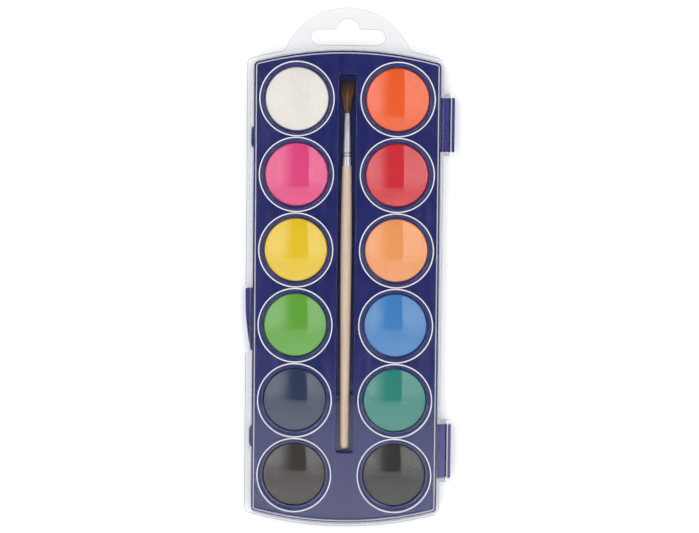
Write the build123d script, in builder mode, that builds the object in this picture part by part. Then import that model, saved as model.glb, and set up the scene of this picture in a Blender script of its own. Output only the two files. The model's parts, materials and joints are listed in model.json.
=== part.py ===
from build123d import *
import math
import os

# A flat paint box for watercolours, closed: a moulded tray with twelve paint cakes and a brush,
# under a clear lid that hinges along one long side and carries a hang tab.
# Millimetres. The origin is the middle of the tray, on the table it rests on.
# +X is the hinge side, +Y the hang tab's end, +Z up.

# --- Layout of the wells -----------------------------------------------------------------------
columns = 2
rows = 6
column_spacing = 44.25
row_pitch = 33.15

# --- Outline of the tray: straight sides and bowed ends ----------------------------------------
tray_width = 82.0
tray_half_length = 104.1
end_radius = 157.0
corner_radius = 2.3
least_corner_radius = 0.6

# --- Heights above the table -------------------------------------------------------------------
lid_top = 12.0
lid_inside = 10.8
rib_bottom = 9.1
tray_rim = 8.6
deck_top = 8.2
skirt_bottom = 6.2
hinge_height = 6.0

# --- Tray --------------------------------------------------------------------------------------
wall = 1.2
deck_thickness = 1.2
well_mouth_radius = 16.1
well_ledge_radius = 14.9
well_radius = 13.95
well_ledge_height = 7.4
well_floor = 1.4
cup_bottom = 0.3
rim_fillet = 0.3
well_edge_fillet = 0.35
trough_edge_fillet = 0.2
detail_fillet = 0.25

# --- Paint cakes -------------------------------------------------------------------------------
cake_radius = 13.85
cake_crest = 8.6
cake_edge_height = 7.2
cake_edge_fillet = 0.5
cake_colours = [
    ("white", "orange"),
    ("pink", "red"),
    ("yellow", "apricot"),
    ("green", "blue"),
    ("navy", "teal"),
    ("brown", "black"),
]

# --- Brush trough ------------------------------------------------------------------------------
trough_width = 7.8
trough_floor = 2.8
trough_end_gap = 1.7
trough_corner_radius = 1.2
nub_positions = (43.5, -48.2)
nub_length = 1.3
nub_bottom = 7.2
nub_top = 8.1
nub_gap = 4.5

# --- Brush, lying along the middle -------------------------------------------------------------
brush_height = 5.55
hair_tip = 92.2
ferrule_mouth = 78.0
handle_shoulder = 53.6
handle_end = -71.6
handle_widest = 24.1
handle_waist = -48.0
handle_radius = 2.45
handle_waist_radius = 2.03
handle_shoulder_radius = 2.05
handle_end_radius = 1.9
tenon_radius = 1.2
tenon_length = 8.4
ferrule_base_radius = 1.75
ferrule_mouth_radius = 1.0
ferrule_wall = 0.22
crimp_positions = (58.0, 59.3)
crimp_width = 0.55
crimp_depth = 0.13
hair_root_radius = 0.74
hair_root_length = 8.0
# Distance in front of the ferrule, half width and half height of the tuft
hair_sections = [(1.8, 1.35, 1.1), (6.0, 2.3, 1.7), (11.0, 3.4, 2.35), (14.2, 3.2, 1.9)]

# --- Lid ---------------------------------------------------------------------------------------
skirt_gap = 0.25
skirt_thickness = 0.85
lid_edge_fillet = 0.8
flange_thickness = 1.2
flange_left = 3.0
flange_top = 2.3
flange_bottom = 2.0
flange_fillet = 0.3
ring_width = 0.46
ring_radius = 16.25
border_width = 0.4
border_inset = 1.1
border_fillet = 0.15

# --- Hang tab ----------------------------------------------------------------------------------
tab_radius = 29.5
tab_peak = 123.0
tab_root_fillet = 3.0
slot_width = 32.4
slot_height = 6.8
slot_centre = 109.9
slot_bump_radius = 5.0
slot_bump_centre = 113.1
slot_fillet = 1.6

# --- Hinge -------------------------------------------------------------------------------------
hinge_axis = 45.4
hinge_spacing = 144.1
clip_length = 23.7
clip_reach = 6.2
clip_bottom = 4.2
clip_top = 7.2
clip_mouth = 1.35
clip_corner = 1.0
clip_edge_fillet = 0.3
rod_radius = 0.85
rod_clearance = 0.05
ear_thickness = 1.5
ear_gap = 0.35
ear_radius = 1.6
ear_top = 8.6
notch_gap = 0.3

# --- Thumb tab and catches, on the side opposite the hinge -------------------------------------
thumb_reach = 3.3
thumb_start = -0.5
thumb_length = 28.0
thumb_bottom = 2.8
thumb_top = 5.8
thumb_corner = 0.9
thumb_notch_gap = 0.9
# Points along the tab's free edge: share of its length, share of its reach
thumb_bend = (0.32, 0.95)
thumb_sweep = (0.72, 0.64)
thumb_end_direction = (1, -1.5)
catch_spacing = 132.0
catch_length = 10.0
catch_flat = 5.7
catch_reach = 1.2
catch_bottom = 5.0
catch_top = 6.9
catch_gap = 0.4

tray_side = tray_width / 2
lid_middle = (lid_inside + lid_top) / 2
hinge_positions = (hinge_spacing / 2, -hinge_spacing / 2)
catch_positions = (catch_spacing / 2, -catch_spacing / 2)
trough_front = hair_tip + trough_end_gap
trough_back = handle_end - trough_end_gap
trough_length = trough_front - trough_back
trough_middle = (trough_front + trough_back) / 2


def bowed_outline(left, right, top, bottom):
    """The tray's outline, grown by the given margin on each of its four sides."""

    def corner(side, margin):
        drop = end_radius - math.sqrt((end_radius + margin) ** 2 - side**2)
        return tray_half_length - drop

    x_left = tray_side + left
    x_right = tray_side + right
    apex_top = tray_half_length + top
    apex_bottom = tray_half_length + bottom
    top_left = (-x_left, corner(x_left, top))
    top_right = (x_right, corner(x_right, top))
    bottom_left = (-x_left, -corner(x_left, bottom))
    bottom_right = (x_right, -corner(x_right, bottom))
    with BuildSketch() as outline:
        with BuildLine():
            Line(bottom_right, top_right)
            ThreePointArc(top_right, (0, apex_top), top_left)
            Line(top_left, bottom_left)
            ThreePointArc(bottom_left, (0, -apex_bottom), bottom_right)
        make_face()
        corner_margin = min(left, right, top, bottom)
        fillet(outline.vertices(), max(corner_radius + corner_margin, least_corner_radius))
    return outline.sketch


def even_outline(margin):
    """The tray's outline, grown by the same margin all round."""
    return bowed_outline(margin, margin, margin, margin)


skirt_reach = skirt_gap + skirt_thickness
tray_outline = even_outline(0)
tray_inside = even_outline(-wall)
deck_outline = even_outline(-wall / 2)
skirt_inside = even_outline(skirt_gap)
skirt_outside = even_outline(skirt_reach)
border_outside = even_outline(border_width / 2 - border_inset)
border_inside = even_outline(-border_width / 2 - border_inset)
flange_outline = bowed_outline(flange_left, skirt_gap + skirt_thickness / 2, flange_top, flange_bottom)

# --- The space of one well: a sloping mouth, a ledge and a straight cup --------------------------
with BuildPart() as well_space:
    with BuildSketch(Plane.XZ):
        with BuildLine():
            Polyline(
                (0, well_floor),
                (well_radius, well_floor),
                (well_radius, well_ledge_height),
                (well_ledge_radius, well_ledge_height),
                (well_mouth_radius, deck_top),
                (well_mouth_radius + wall / 2, deck_top),
                (well_mouth_radius + wall / 2, lid_inside),
                (0, lid_inside),
                close=True,
            )
        well_face = make_face()
        edges_to_round = well_face.vertices().filter_by(lambda v: well_ledge_height <= v.Y <= deck_top)
        fillet(edges_to_round.filter_by(lambda v: v.X <= well_mouth_radius), well_edge_fillet)
    revolve(axis=Axis.Z)

# --- One ring rib of the lid, with a rounded lower edge --------------------------------------------
with BuildPart() as ring_rib:
    with BuildSketch(Plane.XZ):
        rounding_centre = rib_bottom + ring_width / 2
        with Locations((ring_radius, rounding_centre)):
            Circle(ring_width / 2)
        with Locations((ring_radius, (rounding_centre + lid_middle) / 2)):
            Rectangle(ring_width, lid_middle - rounding_centre)
    revolve(axis=Axis.Z)

# --- One hinge clip: a block with a round seat for the lid's rod, open at the top ----------------
seat_radius = rod_radius + rod_clearance
clip_outer = tray_side + clip_reach
with BuildPart() as clip:
    with BuildSketch(Plane.XZ):
        with BuildLine():
            Polyline(
                (tray_side - wall / 2, clip_bottom),
                (clip_outer, clip_bottom),
                (clip_outer, clip_top),
                (tray_side - wall / 2, clip_top),
                close=True,
            )
        clip_face = make_face()
        outer_corners = clip_face.vertices().group_by(Axis.X)[-1].sort_by(Axis.Y)
        fillet(outer_corners[0], clip_corner)
        fillet(outer_corners[1], clip_edge_fillet)
        with Locations((hinge_axis, hinge_height)):
            Circle(seat_radius, mode=Mode.SUBTRACT)
        with Locations((hinge_axis, (hinge_height + clip_top) / 2)):
            Rectangle(clip_mouth, clip_top - hinge_height, mode=Mode.SUBTRACT)
    extrude(amount=clip_length / 2, both=True)

# --- One ear of the lid: it reaches from the skirt round the end of a rod -------------------------
ear_offset = (clip_length + ear_thickness) / 2 + ear_gap
with BuildPart() as ear:
    with BuildSketch(Plane.XZ):
        with Locations((hinge_axis, hinge_height)):
            Circle(ear_radius)
        with Locations((tray_side + skirt_gap + skirt_thickness / 2, (skirt_bottom + ear_top) / 2)):
            Rectangle(skirt_thickness / 2, ear_top - skirt_bottom)
        make_hull()
    extrude(amount=ear_thickness / 2, both=True)

# --- Thumb tab: square at one end, sweeping back into the wall at the other ----------------------
def thumb_edge_point(along, out):
    """A point of the tab's free edge, from shares of its length and of its reach."""
    return (-tray_side - thumb_reach * out, thumb_start - thumb_length * along)


with BuildPart() as thumb_tab:
    with BuildSketch(Plane.XY.offset(thumb_bottom)):
        with BuildLine():
            tab_end = Line((-tray_side + wall / 2, thumb_start), thumb_edge_point(0, 1))
            tab_side = Line(tab_end @ 1, thumb_edge_point(*thumb_bend))
            tab_sweep = Spline(
                tab_side @ 1,
                thumb_edge_point(*thumb_sweep),
                thumb_edge_point(1, 0),
                tangents=[tab_side % 1, thumb_end_direction],
            )
            tab_root = Line(tab_sweep @ 1, (-tray_side + wall / 2, thumb_start - thumb_length))
            Line(tab_root @ 1, tab_end @ 0)
        tab_face = make_face()
        fillet(tab_face.vertices().group_by(Axis.X)[0], thumb_corner)
    extrude(amount=thumb_top - thumb_bottom)
    fillet(thumb_tab.edges().group_by(Axis.Z)[0] + thumb_tab.edges().group_by(Axis.Z)[-1], detail_fillet)

# --- One catch, with sloping ends ----------------------------------------------------------------
with BuildPart() as catch:
    with BuildSketch(Plane.XY.offset(catch_bottom)):
        with Locations((-tray_side, 0)):
            Polygon(
                (wall / 2, -catch_length / 2),
                (wall / 2, catch_length / 2),
                (0, catch_length / 2),
                (-catch_reach, catch_flat / 2),
                (-catch_reach, -catch_flat / 2),
                (0, -catch_length / 2),
                align=None,
            )
    extrude(amount=catch_top - catch_bottom)
    fillet(catch.edges().group_by(Axis.Z)[0] + catch.edges().group_by(Axis.Z)[-1], detail_fillet)

# --- Tray ----------------------------------------------------------------------------------------
with BuildPart() as tray:
    # Side wall, with its rim standing a little above the deck
    with BuildSketch():
        add(tray_outline)
        add(tray_inside, mode=Mode.SUBTRACT)
    extrude(amount=tray_rim)
    fillet(tray.edges().group_by(Axis.Z)[-1], rim_fillet)
    # Deck
    with BuildSketch(Plane.XY.offset(deck_top - deck_thickness)):
        add(deck_outline)
    extrude(amount=deck_thickness)
    # Cups under the wells
    with BuildSketch(Plane.XY.offset(cup_bottom)):
        with GridLocations(column_spacing, row_pitch, columns, rows):
            Circle(well_radius + wall)
    extrude(amount=deck_top - deck_thickness / 2 - cup_bottom)
    # Shell of the brush trough, and the rib it stands on
    with BuildSketch(Plane.XY.offset(trough_floor - wall)):
        with Locations((0, trough_middle)):
            RectangleRounded(trough_width + 2 * wall, trough_length + 2 * wall, trough_corner_radius + wall)
    extrude(amount=deck_top - deck_thickness / 2 - trough_floor + wall)
    with BuildSketch():
        with Locations((0, trough_middle)):
            Rectangle(wall, trough_length)
    extrude(amount=trough_floor - wall / 2)
    # Wells and trough, opened from above
    with GridLocations(column_spacing, row_pitch, columns, rows):
        add(well_space.part, mode=Mode.SUBTRACT)
    with BuildSketch(Plane.XY.offset(trough_floor)):
        with Locations((0, trough_middle)):
            RectangleRounded(trough_width, trough_length, trough_corner_radius)
    extrude(amount=lid_inside - trough_floor, mode=Mode.SUBTRACT)
    trough_mouth = tray.edges().filter_by_position(Axis.Z, deck_top, deck_top).filter_by(
        lambda edge: abs(edge.center().X) <= trough_width / 2 + detail_fillet
    )
    fillet(trough_mouth, trough_edge_fillet)
    # Nubs over the brush handle
    with BuildSketch(Plane.XY.offset(nub_bottom)):
        with Locations(*[(0, y) for y in nub_positions]):
            Rectangle(trough_width + wall, nub_length)
            Rectangle(nub_gap, nub_length, mode=Mode.SUBTRACT)
    extrude(amount=nub_top - nub_bottom)
    nub_tips = tray.edges().filter_by(
        lambda edge: abs(abs(edge.center().X) - nub_gap / 2) < detail_fillet / 2
    )
    fillet(nub_tips, detail_fillet)
    # Hinge clips
    with Locations(*[(0, y, 0) for y in hinge_positions]):
        add(clip.part)
    # Thumb tab and catches
    add(thumb_tab.part)
    with Locations(*[(0, y, 0) for y in catch_positions]):
        add(catch.part)

# --- The lid's flange round three sides, growing into the hang tab with its slot ------------------
with BuildPart() as flange:
    with BuildSketch(Plane.XY.offset(skirt_bottom)) as flange_face:
        add(flange_outline)
        with Locations((0, tab_peak - tab_radius)):
            Circle(tab_radius)
        tab_roots = flange_face.vertices().filter_by(lambda v: abs(v.X) < tab_radius).sort_by(Axis.Y)[-2:]
        fillet(tab_roots, tab_root_fillet)
    extrude(amount=flange_thickness)
    with BuildSketch(Plane.XY.offset(skirt_bottom)) as hang_slot:
        with Locations((0, slot_centre)):
            SlotOverall(slot_width, slot_height)
        with Locations((0, slot_bump_centre)):
            Circle(slot_bump_radius)
        bump_roots = hang_slot.vertices().filter_by(lambda v: abs(v.X) < slot_bump_radius)
        fillet(bump_roots, slot_fillet)
    extrude(amount=flange_thickness, mode=Mode.SUBTRACT)
    fillet(flange.edges().group_by(Axis.Z)[0] + flange.edges().group_by(Axis.Z)[-1], flange_fillet)

# --- Lid -----------------------------------------------------------------------------------------
notch_top = clip_top + notch_gap
with BuildPart() as lid:
    # Plate and skirt
    with BuildSketch(Plane.XY.offset(skirt_bottom)):
        add(skirt_outside)
    extrude(amount=lid_top - skirt_bottom)
    fillet(lid.faces().sort_by(Axis.Z)[-1].edges(), lid_edge_fillet)
    # Flange and hang tab
    add(flange.part)
    # Inside of the lid
    with BuildSketch(Plane.XY.offset(skirt_bottom)):
        add(skirt_inside)
    extrude(amount=lid_inside - skirt_bottom, mode=Mode.SUBTRACT)
    # Ribs inside the lid: one ring over each well and one line round the border
    with BuildSketch(Plane.XY.offset(rib_bottom)):
        add(border_outside)
        add(border_inside, mode=Mode.SUBTRACT)
    border_rib = extrude(amount=lid_inside - rib_bottom)
    fillet(border_rib.edges().group_by(Axis.Z)[0], border_fillet)
    with GridLocations(column_spacing, row_pitch, columns, rows):
        add(ring_rib.part)
    # Room for the thumb tab
    with BuildSketch(Plane.XY.offset(skirt_bottom)):
        with Locations((-tray_side - skirt_reach - flange_left / 2, thumb_start - thumb_length / 2)):
            Rectangle(flange_left, thumb_length + 2 * thumb_notch_gap)
    extrude(amount=flange_thickness, mode=Mode.SUBTRACT)
    # Pockets over the catches
    with BuildSketch(Plane.XY.offset(skirt_bottom)):
        with Locations(*[(-tray_side - catch_reach / 2, y) for y in catch_positions]):
            Rectangle(catch_reach + 2 * catch_gap, catch_length + 2 * catch_gap)
    extrude(amount=catch_top + notch_gap - skirt_bottom, mode=Mode.SUBTRACT)
    # Notches in the skirt over the hinge clips
    with BuildSketch(Plane.XY.offset(skirt_bottom)):
        with Locations(*[(tray_side + skirt_reach / 2, y) for y in hinge_positions]):
            Rectangle(skirt_reach + skirt_gap, clip_length + 2 * ear_gap)
    extrude(amount=notch_top - skirt_bottom, mode=Mode.SUBTRACT)
    # Ears at both ends of each clip, holding the rod that turns in it
    with Locations(*[(0, y + side * ear_offset, 0) for y in hinge_positions for side in (-1, 1)]):
        add(ear.part)
    for y in hinge_positions:
        with BuildSketch(Plane.XZ.offset(-y)):
            with Locations((hinge_axis, hinge_height)):
                Circle(rod_radius)
        extrude(amount=ear_offset, both=True)

# --- Paint cakes: one pressed disc with a domed top for each well --------------------------------
os.makedirs("parts", exist_ok=True)
for row, colours in enumerate(cake_colours):
    for column, colour in enumerate(colours):
        x = (column - (columns - 1) / 2) * column_spacing
        y = ((rows - 1) / 2 - row) * row_pitch
        with BuildPart() as cake:
            with BuildSketch(Plane((x, y, 0), x_dir=(1, 0, 0), z_dir=(0, -1, 0))):
                with BuildLine():
                    dome = TangentArc((0, cake_crest), (cake_radius, cake_edge_height), tangent=(1, 0))
                    Polyline(dome @ 1, (cake_radius, well_floor), (0, well_floor), dome @ 0)
                half_face = make_face()
                fillet(half_face.vertices().group_by(Axis.X)[-1].sort_by(Axis.Y)[-1], cake_edge_fillet)
            revolve(axis=Axis((x, y, 0), (0, 0, 1)))
        cake.part.label = f"paint_{colour}"
        export_step(cake.part, f"parts/paint_{colour}.step")

# --- Brush: all three pieces turn about one line along Y -----------------------------------------
brush_plane = Plane.XY.offset(brush_height)
brush_axis = Axis((0, 0, brush_height), (0, 1, 0))

with BuildPart() as brush_handle:
    with BuildSketch(brush_plane):
        with BuildLine():
            tenon_end = handle_shoulder + tenon_length
            front = Polyline(
                (0, tenon_end),
                (tenon_radius, tenon_end),
                (tenon_radius, handle_shoulder),
                (handle_shoulder_radius, handle_shoulder),
            )
            side = Spline(
                front @ 1,
                (handle_radius, handle_widest),
                (handle_waist_radius, handle_waist),
                (handle_end_radius, handle_end + handle_end_radius),
            )
            end = RadiusArc(side @ 1, (0, handle_end), handle_end_radius)
            Line(end @ 1, front @ 0)
        make_face()
    revolve(axis=brush_axis)

ferrule_length = ferrule_mouth - handle_shoulder
with BuildPart() as brush_ferrule:
    with BuildSketch(brush_plane):
        with BuildLine():
            Polyline(
                (ferrule_base_radius, handle_shoulder),
                (ferrule_mouth_radius, ferrule_mouth),
                (ferrule_mouth_radius - ferrule_wall, ferrule_mouth),
                (ferrule_base_radius - ferrule_wall, handle_shoulder),
                close=True,
            )
        make_face()
        taper = (ferrule_base_radius - ferrule_mouth_radius) / ferrule_length
        for crimp in crimp_positions:
            with Locations((ferrule_base_radius - taper * (crimp - handle_shoulder), crimp)):
                Rectangle(2 * crimp_depth, crimp_width, mode=Mode.SUBTRACT)
    revolve(axis=brush_axis)

with BuildPart() as brush_hair:
    mouth_plane = Plane((0, ferrule_mouth, brush_height), x_dir=(1, 0, 0), z_dir=(0, 1, 0))
    with BuildSketch(mouth_plane.offset(-hair_root_length)):
        Circle(hair_root_radius)
    extrude(amount=hair_root_length)
    with BuildSketch(mouth_plane):
        Circle(hair_root_radius)
    for distance, half_width, half_height in hair_sections:
        with BuildSketch(mouth_plane.offset(distance)):
            Ellipse(half_width, half_height)
    loft()

# --- Labels and files ----------------------------------------------------------------------------
named_parts = {
    "tray": tray,
    "lid": lid,
    "brush_handle": brush_handle,
    "brush_ferrule": brush_ferrule,
    "brush_hair": brush_hair,
}
for name, built in named_parts.items():
    built.part.label = name
    export_step(built.part, f"parts/{name}.step")
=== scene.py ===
import json
import math
import random

import bmesh
import bpy
from mathutils import Matrix, Vector, noise


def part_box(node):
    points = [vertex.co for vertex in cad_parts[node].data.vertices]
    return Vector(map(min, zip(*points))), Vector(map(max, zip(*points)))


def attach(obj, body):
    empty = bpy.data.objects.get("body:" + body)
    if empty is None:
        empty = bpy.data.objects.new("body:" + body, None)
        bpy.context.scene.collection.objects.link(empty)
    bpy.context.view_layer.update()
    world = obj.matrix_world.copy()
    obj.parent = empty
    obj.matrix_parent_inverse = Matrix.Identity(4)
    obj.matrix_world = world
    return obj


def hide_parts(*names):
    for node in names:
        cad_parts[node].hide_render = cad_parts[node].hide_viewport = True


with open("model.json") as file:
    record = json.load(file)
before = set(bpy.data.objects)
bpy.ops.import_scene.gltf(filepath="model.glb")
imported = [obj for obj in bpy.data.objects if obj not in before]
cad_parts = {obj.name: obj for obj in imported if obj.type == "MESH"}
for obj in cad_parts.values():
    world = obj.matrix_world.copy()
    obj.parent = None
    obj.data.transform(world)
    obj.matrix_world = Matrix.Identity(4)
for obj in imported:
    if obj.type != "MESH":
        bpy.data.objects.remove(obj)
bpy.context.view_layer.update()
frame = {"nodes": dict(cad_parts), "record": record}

scene = bpy.context.scene
nodes = frame["nodes"]
MM = 0.001

# Places that the materials need, as the frame gives them
tray_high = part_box("tray")[1]
lid_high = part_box("lid")[1]
hair_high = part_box("brush_hair")[1]
ferrule_low, ferrule_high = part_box("brush_ferrule")
joints = {joint["name"]: joint for joint in frame["record"]["behaviour"]["joints"]}
hinge_axis = Vector(joints["lid_hinge"]["pos_m"])

# The tray's outline: straight sides and bowed ends
tray_side = 41.0 * MM
end_radius = 157.0 * MM

CAKE_COLOURS = [
    ("white", "orange"),
    ("pink", "red"),
    ("yellow", "apricot"),
    ("green", "blue"),
    ("navy", "teal"),
    ("brown", "black"),
]

# The darkest pigments look deeper under the gum gloss than their plain record colours
DEEP_PIGMENTS = {"navy": 0.6, "brown": 0.4, "black": 0.2}


# --- Camera --------------------------------------------------------------------------------------
def add_camera():
    """A long lens almost straight above the box, a little tipped, aimed at the plane just under the lid."""
    tip = math.radians(2.99)
    lean = math.radians(0.61)
    roll = math.radians(0.549)
    distance = 900 * MM
    picture_offset = Vector((1.66 * MM, 9.49 * MM, distance))
    aimed_height = 10 * MM
    turn = Matrix.Rotation(-tip, 3, "X") @ Matrix.Rotation(-lean, 3, "Y") @ Matrix.Rotation(roll, 3, "Z")
    place = turn @ picture_offset + Vector((0, 0, aimed_height))
    data = bpy.data.cameras.new("camera")
    data.sensor_width = 36
    data.lens = 105.4
    data.clip_start = 0.01
    data.clip_end = 20
    camera = bpy.data.objects.new("camera", data)
    scene.collection.objects.link(camera)
    camera.matrix_world = Matrix.Translation(place) @ turn.to_4x4()
    scene.camera = camera


# --- Light and floor -----------------------------------------------------------------------------
def add_panel(name, x_span, y_span, height, brightness, *fades):
    """A soft level panel facing down; brightness is its radiance, where 1 is a fully lit white surface.
    Each fade is (axis, dark end, bright end): the panel grows brighter between two places along X or Y."""
    size = (x_span[1] - x_span[0], y_span[1] - y_span[0])
    data = bpy.data.lights.new(name, "AREA")
    data.shape = "RECTANGLE"
    data.size, data.size_y = size
    data.energy = brightness * math.pi * size[0] * size[1]
    lamp = bpy.data.objects.new(name, data)
    scene.collection.objects.link(lamp)
    lamp.location = (sum(x_span) / 2, sum(y_span) / 2, height)
    if fades:
        data.use_nodes = True
        tree = data.node_tree
        position = add_node(tree, "ShaderNodeNewGeometry").outputs["Position"]
        place = add_node(tree, "ShaderNodeSeparateXYZ", {0: position})
        strength = 1.0
        for axis, dark, bright in fades:
            level = add_node(
                tree,
                "ShaderNodeMapRange",
                {"Value": place.outputs[axis], "From Min": dark, "From Max": bright},
                interpolation_type="SMOOTHSTEP",
            )
            strength = math_node(tree, "MULTIPLY", level.outputs["Result"], strength)
        tree.links.new(strength, tree.nodes["Emission"].inputs["Strength"])


def add_lights():
    """Two side panels and one in front, with a gap for the camera, in a room with bright walls."""
    height = 1.4
    reach = 0.9
    front_reach = 1.2
    gap_right = 0.21
    gap_left = -0.06
    side_front = -0.55
    front_back = -0.22
    front_height = height + 0.02
    side_fade = ("Y", -0.4, -0.05)
    left_fade = ("X", gap_left, -0.42)
    front_fade = ("Y", 0.35, -0.75)
    side_y = (side_front, reach)
    add_panel("panel_right", (gap_right, reach), side_y, height, 3.1, side_fade)
    add_panel("panel_left", (-reach, gap_left), side_y, height, 3.3, left_fade, side_fade)
    add_panel("panel_front", (-reach, reach), (-front_reach, front_back), front_height, 2.15, front_fade)
    world = bpy.data.worlds.new("studio")
    world.use_nodes = True
    tree = world.node_tree
    background = tree.nodes["Background"]
    background.inputs["Color"].default_value = (0.97, 0.98, 1.0, 1)
    direction = add_node(tree, "ShaderNodeTexCoord").outputs["Generated"]
    height_of_view = add_node(tree, "ShaderNodeSeparateXYZ", {0: direction})
    walls = ramp(tree, height_of_view.outputs["Z"], 0.4, 0.75, 0.95, 0.1)
    tree.links.new(walls, background.inputs["Strength"])
    scene.world = world
    scene.view_settings.view_transform = "Standard"


def add_floor():
    """A plain white floor, bright as in high-key product lighting."""
    mesh = bpy.data.meshes.new("floor")
    floor = bpy.data.objects.new("floor", mesh)
    scene.collection.objects.link(floor)
    half = 3.0
    corners = [(-half, -half, 0), (half, -half, 0), (half, half, 0), (-half, half, 0)]
    mesh.from_pydata(corners, [], [(0, 1, 2, 3)])
    clear_of_tray = 0.05 * MM
    floor.location.z = -clear_of_tray
    material, _, surface = new_material("floor_white", (0.9, 0.9, 0.9), 0.7, Emission_Strength=0.14)
    surface.inputs["Emission Color"].default_value = (1, 1, 1, 1)
    mesh.materials.append(material)


# --- Material helpers ----------------------------------------------------------------------------
def new_material(name, colour, roughness, **sockets):
    """A Principled material; sockets are further socket values, with _ for each space."""
    material = bpy.data.materials.new(name)
    material.use_nodes = True
    tree = material.node_tree
    surface = tree.nodes["Principled BSDF"]
    surface.inputs["Base Color"].default_value = (*colour, 1)
    surface.inputs["Roughness"].default_value = roughness
    for socket, value in sockets.items():
        surface.inputs[socket.replace("_", " ")].default_value = value
    return material, tree, surface


def add_node(tree, kind, inputs=None, **settings):
    node = tree.nodes.new(kind)
    for key, value in settings.items():
        setattr(node, key, value)
    for key, value in (inputs or {}).items():
        if isinstance(value, bpy.types.NodeSocket):
            tree.links.new(value, node.inputs[key])
        else:
            node.inputs[key].default_value = value
    return node


def math_node(tree, operation, a, b=0.0, c=0.0):
    return add_node(tree, "ShaderNodeMath", {0: a, 1: b, 2: c}, operation=operation).outputs[0]


def object_point(tree, stretch=(1, 1, 1)):
    """The point on the piece in metres, stretched along its axes."""
    point = add_node(tree, "ShaderNodeTexCoord").outputs["Object"]
    return add_node(tree, "ShaderNodeVectorMath", {0: point, 1: stretch}, operation="MULTIPLY").outputs[0]


def object_axes(tree):
    """The point's x, y and z on the piece in metres."""
    return add_node(tree, "ShaderNodeSeparateXYZ", {0: object_point(tree)}).outputs


def speckle(tree, size, detail=3.0, stretch=(1, 1, 1), roughness=0.5):
    """Noise from 0 to 1 whose lumps are about size metres across."""
    made = add_node(
        tree,
        "ShaderNodeTexNoise",
        {"Vector": object_point(tree, stretch), "Scale": 1 / size, "Detail": detail, "Roughness": roughness},
    )
    return made.outputs["Fac"]


def ramp(tree, value, low, high, out_low=0.0, out_high=1.0):
    made = add_node(
        tree,
        "ShaderNodeMapRange",
        {"Value": value, "From Min": low, "From Max": high, "To Min": out_low, "To Max": out_high},
    )
    made.clamp = True
    return made.outputs["Result"]


def blend_colour(tree, factor, first, second):
    made = add_node(tree, "ShaderNodeMix", data_type="RGBA")
    for index, value in ((0, factor), (6, first), (7, second)):
        if isinstance(value, bpy.types.NodeSocket):
            tree.links.new(value, made.inputs[index])
        elif index == 0:
            made.inputs[0].default_value = value
        else:
            made.inputs[index].default_value = (*value, 1)
    return made.outputs[2]


def bump(tree, surface, height, depth, strength=1.0):
    """Relief of the given depth in metres."""
    made = add_node(tree, "ShaderNodeBump", {"Height": height, "Distance": depth, "Strength": strength})
    tree.links.new(made.outputs["Normal"], surface.inputs["Normal"])
    return made


def from_screen(red, green, blue):
    """Linear colour of an 8-bit screen colour."""

    def channel(value):
        value /= 255
        return value / 12.92 if value <= 0.04045 else ((value + 0.055) / 1.055) ** 2.4

    return channel(red), channel(green), channel(blue)


def scaled(colour, factor):
    return tuple(min(1.0, c * factor) for c in colour)


# --- Materials -----------------------------------------------------------------------------------
def blue_plastic():
    """Deep blue injection-moulded polystyrene: glossy, with faint flow clouds and fine handling marks.
    The hinge clips and the thumb tab, which stand out past the lid, are painted paler: painted light for
    their brighter look outside the lid."""
    blue = from_screen(22, 27, 94)
    material, tree, surface = new_material("moulded_blue", blue, 0.12, IOR=1.72)
    clouds = speckle(tree, 18 * MM, detail=2)
    grit = speckle(tree, 0.5 * MM, detail=4)
    tone = blend_colour(tree, ramp(tree, clouds, 0.35, 0.65), scaled(blue, 0.88), scaled(blue, 1.1))
    fine = blend_colour(tree, ramp(tree, grit, 0.3, 0.7), tone, scaled(blue, 1.04))
    outward = math_node(tree, "ABSOLUTE", object_axes(tree)[0])
    past_wall = ramp(tree, outward, tray_side + 0.6 * MM, tray_side + 2 * MM)
    # painted light: past the tray wall, outside the lid, the blue is painted paler
    lit_paler_outside_lid = blend_colour(tree, past_wall, fine, from_screen(48, 48, 122))
    tree.links.new(lit_paler_outside_lid, surface.inputs["Base Color"])
    marks = speckle(tree, 3 * MM, detail=6, stretch=(1, 0.25, 1), roughness=0.7)
    tree.links.new(ramp(tree, marks, 0.3, 0.75, 0.08, 0.2), surface.inputs["Roughness"])
    bump(tree, surface, grit, 0.006 * MM, 0.3)
    return material


def depth_inside_tray(tree, x, y):
    """How far inside the tray's outline the point lies, in metres, less a margin; negative outside."""
    margin = 0.3 * MM
    side = math_node(tree, "SUBTRACT", tray_side - margin, math_node(tree, "ABSOLUTE", x))
    beyond = math_node(tree, "SUBTRACT", math_node(tree, "ABSOLUTE", y), tray_high.y - end_radius)
    squares = [math_node(tree, "MULTIPLY", part, part) for part in (x, beyond)]
    reach = math_node(tree, "SQRT", math_node(tree, "ADD", *squares))
    end = math_node(tree, "SUBTRACT", end_radius - margin, reach)
    return math_node(tree, "MINIMUM", side, end)


def painted_highlight_share(tree, x, z, depth):
    """How much the lid is painted white as a painted highlight: fully on its rings, less on its border line
    and its rods' outer side.
    """
    plate_underside = lid_high.z - 1.2 * MM
    inside = math_node(tree, "GREATER_THAN", depth, 0)
    low = math_node(tree, "LESS_THAN", z, plate_underside - 0.01 * MM)
    border_share = ramp(tree, depth, 1.6 * MM, 1.7 * MM, 0.55, 1.0)
    rib = math_node(tree, "MULTIPLY", math_node(tree, "MULTIPLY", inside, low), border_share)
    # painted highlight: the hinge rods' outer side is painted partly white
    outer_side = math_node(tree, "GREATER_THAN", x, hinge_axis.x + 0.1 * MM)
    rod = math_node(tree, "MULTIPLY", outer_side, math_node(tree, "GREATER_THAN", z, hinge_axis.z))
    return math_node(tree, "MAXIMUM", rib, math_node(tree, "MULTIPLY", rod, 0.8))


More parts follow.
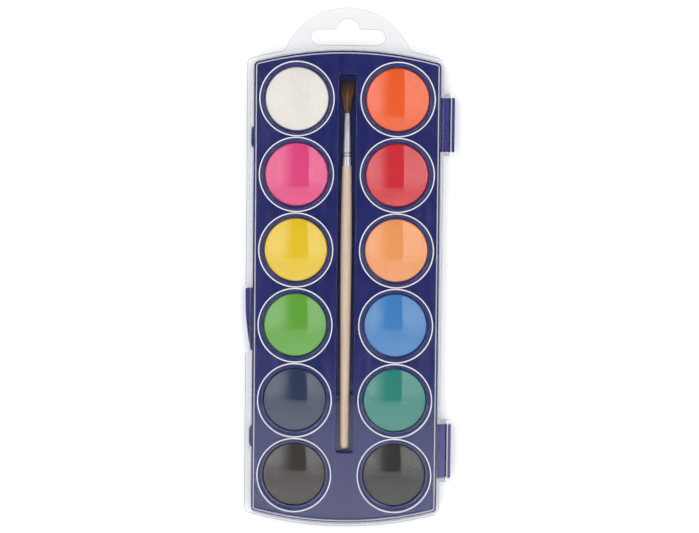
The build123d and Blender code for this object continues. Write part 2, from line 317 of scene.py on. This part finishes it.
def clear_with_painted_shade(tree, y, z, depth, clear):
    """The clear plastic's colour with painted shade: a painted grey shade on the hang tab, painted dark
    shade along the edges of flange and slot.
    """
    flange_top = hinge_axis.z + 1.5 * MM
    past_skirt = math_node(tree, "LESS_THAN", depth, -1.5 * MM)
    flange = math_node(tree, "MULTIPLY", past_skirt, math_node(tree, "LESS_THAN", z, flange_top))
    # painted shade: upright faces at the flange's edge are painted dark
    normal = add_node(tree, "ShaderNodeTexCoord").outputs["Normal"]
    facing = add_node(tree, "ShaderNodeSeparateXYZ", {0: normal}).outputs[2]
    upright = ramp(tree, math_node(tree, "ABSOLUTE", facing), 0.97, 0.85)
    edge = math_node(tree, "MULTIPLY", upright, flange)
    # painted shade: the hang tab is painted a little grey
    on_tab = ramp(tree, y, tray_high.y + 2 * MM, tray_high.y + 7 * MM)
    tab = math_node(tree, "MULTIPLY", flange, on_tab)
    return blend_colour(tree, edge, blend_colour(tree, tab, clear, (0.84, 0.845, 0.85)), (0.3, 0.31, 0.33))


def clear_plastic():
    """Clear polystyrene that lamps shine through. Its ribs are painted white as a painted highlight for
    their bright edges, the hinge rods get the same painted highlight along their outer side, and the edges
    of the flange are painted grey as painted shade."""
    clear = (0.93, 0.935, 0.94)
    weak_reflection = (0.15, 0.15, 0.15, 1)
    material, tree, surface = new_material(
        "clear_moulding", clear, 0.02, IOR=1.5, Specular_Tint=weak_reflection, Transmission_Weight=1.0
    )
    x, y, z = object_axes(tree)
    depth = depth_inside_tray(tree, x, y)
    # painted highlight: ribs, border line and rods' outer side are painted white and made less clear
    highlight_share = painted_highlight_share(tree, x, z, depth)
    tree.links.new(math_node(tree, "SUBTRACT", 1.0, highlight_share), surface.inputs["Transmission Weight"])
    scuffs = speckle(tree, 2.5 * MM, detail=5, stretch=(1, 0.3, 1), roughness=0.65)
    polished = ramp(tree, scuffs, 0.45, 0.8, 0.01, 0.03)
    roughness = math_node(tree, "ADD", polished, math_node(tree, "MULTIPLY", highlight_share, 0.35))
    tree.links.new(roughness, surface.inputs["Roughness"])
    shaded_clear = clear_with_painted_shade(tree, y, z, depth, clear)
    tree.links.new(blend_colour(tree, highlight_share, shaded_clear, (1.0, 1.0, 1.0)), surface.inputs["Base Color"])
    ripple = speckle(tree, 9 * MM, detail=1)
    bump(tree, surface, ripple, 0.01 * MM, 0.3)
    # Light that falls on the paint and the tray passes straight through, whichever way it is traced
    path = add_node(tree, "ShaderNodeLightPath")
    lamp_side = add_node(tree, "ShaderNodeBsdfTransparent", {"Color": (0.965, 0.97, 0.975, 1)}).outputs[0]
    shader = surface.outputs[0]
    for ray in ("Is Diffuse Ray", "Is Shadow Ray"):
        inputs = {0: path.outputs[ray], 1: shader, 2: lamp_side}
        shader = add_node(tree, "ShaderNodeMixShader", inputs).outputs[0]
    tree.links.new(shader, tree.nodes["Material Output"].inputs["Surface"])
    return material


def paint_material(name, colour, gloss):
    """Pressed watercolour with a gum gloss: smooth, faintly mottled, with a few fine pores."""
    material, tree, surface = new_material(
        f"watercolour_{name}",
        colour,
        0.45,
        IOR=1.45,
        Specular_IOR_Level=0.12,
        Coat_Weight=gloss,
        Coat_Roughness=0.05,
        Coat_IOR=1.55,
    )
    mottle = speckle(tree, 4 * MM, detail=4)
    grain = speckle(tree, 0.35 * MM, detail=3)
    tone = blend_colour(tree, ramp(tree, mottle, 0.3, 0.7), scaled(colour, 0.93), scaled(colour, 1.05))
    fine = blend_colour(tree, ramp(tree, grain, 0.35, 0.7), tone, scaled(colour, 1.12))
    tree.links.new(fine, surface.inputs["Base Color"])
    tree.links.new(ramp(tree, mottle, 0.3, 0.7, 0.35, 0.55), surface.inputs["Roughness"])
    bump(tree, surface, grain, 0.004 * MM, 0.4)
    return material


def pale_wood():
    """Bare turned wood, with fine grain along the handle."""
    light = from_screen(219, 194, 171)
    dark = from_screen(192, 164, 140)
    material, tree, surface = new_material("bare_wood", light, 0.55)
    grain = speckle(tree, 0.55 * MM, detail=5, stretch=(1, 0.035, 1), roughness=0.6)
    bands = speckle(tree, 2.2 * MM, detail=2, stretch=(1, 0.05, 1))
    tone = blend_colour(tree, ramp(tree, bands, 0.3, 0.7), scaled(light, 0.93), light)
    lined = blend_colour(tree, ramp(tree, grain, 0.5, 0.75), tone, dark)
    tree.links.new(lined, surface.inputs["Base Color"])
    tree.links.new(ramp(tree, grain, 0.3, 0.7, 0.45, 0.65), surface.inputs["Roughness"])
    bump(tree, surface, grain, 0.03 * MM, 0.6)
    return material


def bright_metal():
    """Drawn aluminium tube, satin, with faint lines round it, a painted dark reflection along its top and
    painted shade in its crimps.
    """
    material, tree, surface = new_material("drawn_metal", (0.86, 0.86, 0.87), 0.3, Metallic=0.6)
    rings = speckle(tree, 0.6 * MM, detail=1, stretch=(0.1, 1, 0.1))
    clouds = speckle(tree, 3 * MM, detail=3)
    tone = blend_colour(tree, ramp(tree, clouds, 0.3, 0.7), (0.88, 0.88, 0.89), (0.97, 0.97, 0.97))
    x, y, z = object_axes(tree)
    # painted reflection: a dark band along the tube's top stands for the dark gap overhead
    from_band_middle = math_node(tree, "ABSOLUTE", math_node(tree, "ADD", x, 0.05 * MM))
    off_band = ramp(tree, from_band_middle, 0.15 * MM, 0.45 * MM)
    on_top = math_node(tree, "GREATER_THAN", z, (ferrule_low.z + ferrule_high.z) / 2)
    dark_reflection_band = math_node(tree, "MULTIPLY", math_node(tree, "SUBTRACT", 1.0, off_band), on_top)
    shaded_tone = blend_colour(tree, dark_reflection_band, tone, (0.1, 0.102, 0.1))
    # painted shade: dark rings where the crimps are
    for crimp in (4.4 * MM, 5.7 * MM):
        off_crimp = math_node(tree, "ABSOLUTE", math_node(tree, "SUBTRACT", y, ferrule_low.y + crimp))
        crimp_shade = ramp(tree, off_crimp, 0.25 * MM, 0.45 * MM, 0.75, 0.0)
        shaded_tone = blend_colour(tree, crimp_shade, shaded_tone, (0.12, 0.12, 0.12))
    tree.links.new(shaded_tone, surface.inputs["Base Color"])
    tree.links.new(ramp(tree, rings, 0.3, 0.7, 0.28, 0.36), surface.inputs["Roughness"])
    bump(tree, surface, rings, 0.002 * MM, 0.2)
    return material


def brown_hair():
    """Natural hair, darker at the tip: each strand has its own shade of brown, kept on the mesh."""
    brown = from_screen(70, 48, 30)
    material, tree, surface = new_material("natural_hair", brown, 0.42, IOR=1.5)
    shade = add_node(tree, "ShaderNodeAttribute", attribute_name="shade")
    along = speckle(tree, 1.5 * MM, detail=3)
    dark = from_screen(30, 17, 12)
    light = from_screen(174, 122, 72)
    tone = blend_colour(tree, shade.outputs["Fac"], dark, light)
    varied = blend_colour(tree, ramp(tree, along, 0.3, 0.8, 0, 0.35), tone, dark)
    towards_tip = ramp(tree, object_axes(tree)[1], hair_high.y - 7 * MM, hair_high.y, 0, 0.75)
    toned = blend_colour(tree, towards_tip, varied, dark)
    tree.links.new(toned, surface.inputs["Base Color"])
    tree.links.new(ramp(tree, along, 0.3, 0.7, 0.35, 0.55), surface.inputs["Roughness"])
    return material


# --- Pieces --------------------------------------------------------------------------------------
def finish_node(name, material):
    """Gives a node of the frame its detailed material."""
    piece = nodes[name]
    piece.data.materials.clear()
    piece.data.materials.append(material)


def new_piece(name, mesh, material, body, slot, *replaced):
    piece = bpy.data.objects.new(name, mesh)
    scene.collection.objects.link(piece)
    mesh.materials.append(material)
    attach(piece, body)
    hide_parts(*replaced)
    return piece


def lathe(profile, segments, wobble):
    """A closed turned mesh about +Z from (radius, height) points; wobble moves each point a little."""
    mesh = bpy.data.meshes.new("lathe")
    bm = bmesh.new()
    rings = []
    for radius, height in profile:
        if radius == 0:
            rings.append([bm.verts.new(wobble(Vector((0, 0, height))))])
            continue
        ring = []
        for step in range(segments):
            angle = 2 * math.pi * step / segments
            point = Vector((radius * math.cos(angle), radius * math.sin(angle), height))
            ring.append(bm.verts.new(wobble(point)))
        rings.append(ring)
    for lower, upper in zip(rings, rings[1:]):
        for step in range(segments):
            after = (step + 1) % segments
            corners = [lower[step % len(lower)], lower[after % len(lower)]]
            corners += [upper[after % len(upper)], upper[step % len(upper)]]
            bm.faces.new(list(dict.fromkeys(corners)))
    bmesh.ops.recalc_face_normals(bm, faces=bm.faces)
    for face in bm.faces:
        face.smooth = True
    bm.to_mesh(mesh)
    bm.free()
    return mesh


def cake_profile(radius, crest):
    """The half outline of a cake and its shoulder's height: flat base, straight side, rim and round dome."""
    dome = 1.4 * MM
    rim = 0.55 * MM
    base_edge = 0.3 * MM
    rim_squash = 0.92
    rim_steps = 6
    dome_steps = 14
    shoulder = crest - dome
    dome_radius = radius - rim
    profile = [(0, 0), (radius * 0.5, 0), (radius - base_edge, 0), (radius, base_edge)]
    profile += [(radius, shoulder * part) for part in (0.3, 0.6)]
    for step in range(rim_steps + 1):
        angle = math.pi / 2 * step / rim_steps
        rise = rim * math.sin(angle) * rim_squash
        profile.append((dome_radius + rim * math.cos(angle), shoulder - rim + rise))
    sphere = (dome_radius**2 + dome**2) / (2 * dome)
    for step in range(1, dome_steps + 1):
        r = dome_radius * (1 - step / dome_steps)
        profile.append((r, crest - sphere + math.sqrt(sphere**2 - r**2)))
    return profile, shoulder


def paint_cake(name, material, seed):
    """A pressed cake: domed and glossy on top, with a slightly uneven rounded rim and straight side."""
    low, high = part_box(name)
    centre = (low + high) / 2
    radius = (high.x - low.x) / 2
    profile, shoulder = cake_profile(radius, high.z - low.z)
    offset = Vector((seed * 3.7, seed * 1.9, seed * 0.7))
    rim_zone = 1.2 * MM
    broad_size = 9 * MM
    close_size = 2.2 * MM
    broad_lift = 0.018 * MM
    close_lift = 0.05 * MM
    inward_share = 0.004

    def wobble(point):
        broad = noise.noise(point / broad_size + offset)
        close = noise.noise(point / close_size + offset)
        edge = min(1.0, max(0.0, (point.xy.length - radius + rim_zone) / rim_zone))
        lift = broad_lift * broad + close_lift * edge * close
        pull = 1 - inward_share * edge * (0.5 + 0.5 * close)
        return Vector((point.x * pull, point.y * pull, point.z + (lift if point.z > 0.5 * shoulder else 0)))

    mesh = lathe(profile, 128, wobble)
    mesh.name = f"cake_{name}"
    mesh.transform(Matrix.Translation((centre.x, centre.y, low.z)))
    return new_piece(f"cake_{name}", mesh, material, "tray", name, name)


def strand_shapes(rng):
    """The strands of the tuft, clump by clump: place in the tuft, shortfall, thickness, curves and tone."""
    clumps = 60
    strands_each = 15
    clump_spread = 0.17
    for _ in range(clumps):
        clump_out = rng.random() ** 0.55
        clump_turn = rng.random() * 2 * math.pi
        clump_tone = rng.betavariate(0.7, 1.6)
        clump_short = rng.uniform(0, 0.34)
        for _ in range(strands_each):
            u = clump_out * math.cos(clump_turn) + rng.gauss(0, clump_spread)
            v = clump_out * math.sin(clump_turn) + rng.gauss(0, clump_spread)
            reach = max(1.0, math.hypot(u, v))
            shortfall = clump_short + abs(rng.gauss(0, 0.05))
            if rng.random() < 0.15:
                shortfall += rng.uniform(0, 0.3)
            yield {
                "u": u / reach,
                "v": v / reach,
                "shortfall": min(0.5, shortfall),
                "thick": rng.uniform(0.05, 0.085) * MM,
                "sway": rng.gauss(0, 0.16) * MM,
                "curl": rng.gauss(0, 0.3) * MM,
                "bow": rng.uniform(0.9, 1.2),
                "tone": min(1.0, max(0.0, clump_tone + rng.gauss(0, 0.12))),
            }


def hair_tuft(material):
    """Fine hairs fanning out of the ferrule's mouth, spread like a trumpet and ragged at the tip."""
    low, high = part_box("brush_hair")
    centre = (low + high) / 2
    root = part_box("brush_ferrule")[1].y
    full_length = high.y - root
    half_width = (high.x - low.x) / 2 * 0.97
    half_height = (high.z - low.z) / 2 * 0.95
    steps = 8
    sides = 3
    buried = 1.2 * MM
    root_share = 0.3
    flat_share = 0.3
    early_spread = 1.12
    tapered_from = 0.7
    mesh = bpy.data.meshes.new("hair")
    bm = bmesh.new()
    shade = bm.verts.layers.float.new("shade")
    for strand in strand_shapes(random.Random(7)):
        length = full_length * (1 - strand["shortfall"])
        thick = strand["thick"]
        rings = []
        for step in range(steps + 1):
            t = step / steps
            along = min(1.0, t * length / full_length * early_spread)
            flare = root_share + (1 - root_share) * along ** strand["bow"]
            rise = flat_share + (1 - flat_share) * flare
            x = centre.x + strand["u"] * half_width * flare + strand["sway"] * t**2
            z = centre.z + strand["v"] * half_height * rise + strand["curl"] * t**2 * 0.5
            x = min(high.x - thick, max(low.x + thick, x))
            z = min(high.z - thick, max(low.z + thick, z))
            y = root - buried + (length + buried) * t
            width = thick * (1.0 - 0.8 * max(0.0, t - tapered_from) / (1 - tapered_from))
            ring = []
            for side in range(sides):
                turn = 2 * math.pi * (side + 0.25) / sides
                vert = bm.verts.new((x + width * math.cos(turn), y, z + width * math.sin(turn)))
                vert[shade] = strand["tone"]
                ring.append(vert)
            rings.append(ring)
        for lower, upper in zip(rings, rings[1:]):
            for side in range(sides):
                after = (side + 1) % sides
                bm.faces.new((lower[side], lower[after], upper[after], upper[side]))
        bm.faces.new(rings[0])
        bm.faces.new(list(reversed(rings[-1])))
    bmesh.ops.recalc_face_normals(bm, faces=bm.faces)
    for face in bm.faces:
        face.smooth = True
    bm.to_mesh(mesh)
    bm.free()
    return new_piece("hair_strands", mesh, material, "brush", "brown_hair", "brush_hair")


# --- The scene -----------------------------------------------------------------------------------
record_colours = {m["slot"]: tuple(m["base_color"][:3]) for m in frame["record"]["materials"]}

add_camera()
add_lights()
add_floor()
finish_node("tray", blue_plastic())
finish_node("lid", clear_plastic())
finish_node("brush_handle", pale_wood())
finish_node("brush_ferrule", bright_metal())
hair_tuft(brown_hair())
for row, colours in enumerate(CAKE_COLOURS):
    for column, colour in enumerate(colours):
        node = f"paint_{colour}"
        gloss = 0.35 if colour == "white" else 0.95
        pigment = scaled(record_colours[node], DEEP_PIGMENTS.get(colour, 1.0))
        paint_cake(node, paint_material(colour, pigment, gloss), 2 * row + column + 1)
